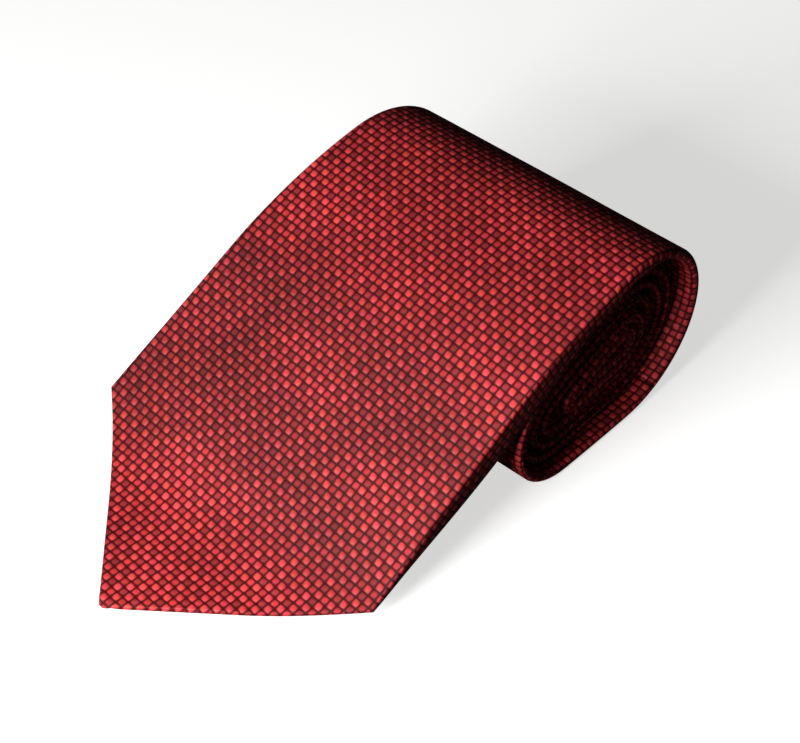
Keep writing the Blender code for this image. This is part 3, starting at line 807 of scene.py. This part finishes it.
def bar_tack(name, node, middle, size, depth, put, body, thread, side=0.0):
    """A dense row of arched, whipped threads."""
    length, width, _ = size
    count = round(width / 0.00042)
    wraps = []
    for index in range(count):
        across = side + (index / (count - 1) - 0.5) * (width - 0.0004)
        sweep = np.linspace(0.0, math.pi, 9)
        along = middle - length / 2 * np.cos(sweep)
        slant = across + 0.00012 * np.cos(sweep)
        rise = depth + 0.00028 * np.sin(sweep) - 0.0001
        wraps.append(thread_run(f"{name}_{index}", put(along, slant, rise) + SHIFT, TACK_THREAD, thread))
    tack = join_pieces(name, wraps)
    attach(tack, body)
    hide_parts(node)


def make_tacks(thread):
    bar_tack("blade_bar_tack_stitches", "blade_bar_tack", SEAM_START, BAR_TACK, HEM_THICKNESS + GAP / 2,
             place, "free_blade", thread)
    bar_tack("tail_bar_tack_stitches", "tail_bar_tack", TAIL_SHOULDER + TAIL_SEAM_START, BAR_TACK,
             THICKNESS + GAP / 2, place_tail, "roll", thread)
    depth = THICKNESS + KEEPER_LIFT + KEEPER_THICKNESS + GAP / 2
    reach = float(tail_half(np.array(KEEPER_AT))) + KEEPER_SIDE_GAP + (KEEPER_THICKNESS + KEEPER_FOOT) / 2
    for side, word in ((1, "left"), (-1, "right")):
        bar_tack(f"loop_tack_stitches_{word}", f"keeper_loop_tack_{word}", KEEPER_AT, LOOP_TACK,
                 depth, place,
                 "roll", thread, side * reach)


def make_keeper(silk):
    """The band of the same silk that the tail passes through, with its feet tacked down."""
    along = rows_between(KEEPER_AT - KEEPER_LENGTH / 2, KEEPER_AT + KEEPER_LENGTH / 2, 0.001)
    foot = THICKNESS + KEEPER_LIFT + KEEPER_THICKNESS
    bridge = 2 * THICKNESS + FIRST_LEG_GAP + GAP + KEEPER_THICKNESS
    side = tail_half(along) + KEEPER_SIDE_GAP + KEEPER_THICKNESS
    outer = np.linspace(1.0, 0.0, 8)
    riser = np.linspace(0.0, 1.0, 7)[1:]
    over = np.linspace(1.0, 0.0, 12)[1:]
    half_across = np.concatenate((side[:, None] + (KEEPER_FOOT - KEEPER_THICKNESS) * outer[None],
                                  side[:, None] - 0.0006 * riser[None] ** 2,
                                  (side[:, None] - 0.0006) * over[None]), 1)
    half_depth = np.concatenate((np.full((len(along), 8), foot),
                                 foot + (bridge - foot) * smooth(0, 1, 0.0, 1.0, riser)[None]
                                 + 0 * side[:, None],
                                 np.full((len(along), 11), bridge)), 1)
    across = np.concatenate((half_across, -half_across[:, -2::-1]), 1)
    depth = np.concatenate((half_depth, half_depth[:, -2::-1]), 1)
    steps = np.hypot(np.diff(across, axis=1), np.diff(depth, axis=1))
    cloth = np.concatenate((0 * across[:, :1], np.cumsum(steps, 1)), 1)
    keeper = lay_cloth("keeper_loop_band", along, (across, depth, cloth), place, KEEPER_THICKNESS, silk)
    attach(keeper, "roll")
    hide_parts("keeper_loop")


def make_label(name, node, middle, size, finish, body):
    length, width, thick = size
    along = rows_between(middle - length / 2, middle + length / 2, 0.001)
    across, depth, cloth = flat_layer(np.full_like(along, width / 2), THICKNESS + GAP + thick, 20)
    label = lay_cloth(name, along, (across[:, ::-1], depth, cloth[:, ::-1]),
                      place, thick, finish)
    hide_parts(node)
    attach(label, body)


# =================================================================================================
# camera, lights and table
# =================================================================================================
CAMERA_AT = Vector((-0.22716, -0.20710, 0.34040))
CAMERA_YAW = math.radians(-49.921)
CAMERA_PITCH = math.radians(44.019)
CAMERA_ROLL = math.radians(0.976)
CAMERA_LENS = 85.06
RAMP_PAINTED_SHADE = 0.30        # painted shade: silk value taken off where the darker stretch of the ramp begins
RAMP_PAINTED_SHADE_LIFT = 0.28       # painted shade given back past that stretch
SIDE_PAINTED_SHADE = 0.24        # painted shade: silk value taken off further towards one side of the blade
TABLE_GLOW = 0.65
TABLE_BOUNCE = 0.06
ROOM_LIGHT = 0.018


def make_camera():
    bpy.ops.object.camera_add(location=CAMERA_AT)
    camera = bpy.context.object
    turn = (Matrix.Rotation(CAMERA_YAW, 4, "Z") @ Matrix.Rotation(CAMERA_PITCH, 4, "X")
            @ Matrix.Rotation(CAMERA_ROLL, 4, "Z"))
    camera.rotation_euler = turn.to_euler()
    camera.data.lens = CAMERA_LENS
    camera.data.sensor_width = 36.0
    camera.data.clip_start = 0.01
    bpy.context.scene.camera = camera


def area_light(name, at, target, size, power, colour=(1, 1, 1)):
    bpy.ops.object.light_add(type="AREA", location=at)
    light = bpy.context.object
    light.name = name
    light.data.shape = "RECTANGLE"
    light.data.size, light.data.size_y = size
    light.data.energy = power
    light.data.color = colour
    light.visible_camera = False
    light.rotation_euler = (Vector(target) - Vector(at)).to_track_quat("-Z", "Y").to_euler()
    return light


def table_material():
    """A white table that looks bright to the eye and gives back little light of its own."""
    made, wire, shader = new_material("pale table", 0.9, Specular_IOR_Level=0.0)
    shader.inputs["Base Color"].default_value = (0.88, 0.88, 0.875, 1)
    shader.inputs["Emission Color"].default_value = (1.0, 0.998, 0.99, 1)
    shader.inputs["Emission Strength"].default_value = TABLE_GLOW
    dim = wire.tree.nodes.new("ShaderNodeBsdfDiffuse")
    dim.inputs["Color"].default_value = (TABLE_BOUNCE, TABLE_BOUNCE, TABLE_BOUNCE, 1)
    seen = wire.tree.nodes.new("ShaderNodeLightPath").outputs["Is Camera Ray"]
    choose = wire.tree.nodes.new("ShaderNodeMixShader")
    wire.feed(choose.inputs[0], seen)
    wire.feed(choose.inputs[1], dim.outputs[0])
    wire.feed(choose.inputs[2], shader.outputs[0])
    wire.feed(wire.tree.nodes["Material Output"].inputs["Surface"], choose.outputs[0])
    return made


def make_studio():
    bpy.ops.mesh.primitive_plane_add(size=6.0, location=(0.0, 0.0, -0.0002))
    table = bpy.context.object
    table.name = "pale_table"
    table.data.materials.append(table_material())
    world = bpy.data.worlds.new("soft studio")
    bpy.context.scene.world = world
    world.use_nodes = True
    world.node_tree.nodes["Background"].inputs["Color"].default_value = (1.0, 1.0, 1.0, 1)
    world.node_tree.nodes["Background"].inputs["Strength"].default_value = ROOM_LIGHT
    area_light("window", (-0.88, 0.08, 0.33), (0.0, 0.0, 0.0), (0.42, 0.42), 9.6)
    area_light("lamp over the tip", (-0.15, -0.02, 0.13), (-0.05, -0.01, 0.0), (0.08, 0.08), 0.21)
    bpy.context.scene.view_settings.view_transform = "Standard"


# =================================================================================================
def main():
    make_camera()
    make_studio()
    silk = silk_material(build_weave_group())
    wool = wool_material()
    lining = lining_material("satin tipping", (0.045, 0.004, 0.007, 1), (0.16, 0.014, 0.022, 1), 0.45, 8, 8)
    thread = thread_material()
    label_cloth = lining_material("plain woven label", (0.012, 0.012, 0.014, 1), (0.05, 0.05, 0.056, 1),
                                  0.5, 7, 4)
    care_cloth = lining_material("white satin label", (0.70, 0.69, 0.66, 1), (0.86, 0.85, 0.82, 1),
                                 0.4, 9, 5)
    make_blade(silk, wool, lining)
    make_rolled_cloth(silk, wool, lining)
    make_stitches(thread)
    make_tacks(thread)
    make_keeper(silk)
    make_label("blank_woven_label", "blank_label", LABEL_AT, LABEL_SIZE, label_cloth, "roll")
    make_label("blank_satin_care_label", "blank_care_label", CARE_LABEL_AT, CARE_LABEL_SIZE, care_cloth,
               "free_blade")
    seam = seam_material()
    for name in ("blade_neck_seam", "neck_tail_seam"):
        nodes[name].data.materials.clear()
        nodes[name].data.materials.append(seam)


main()
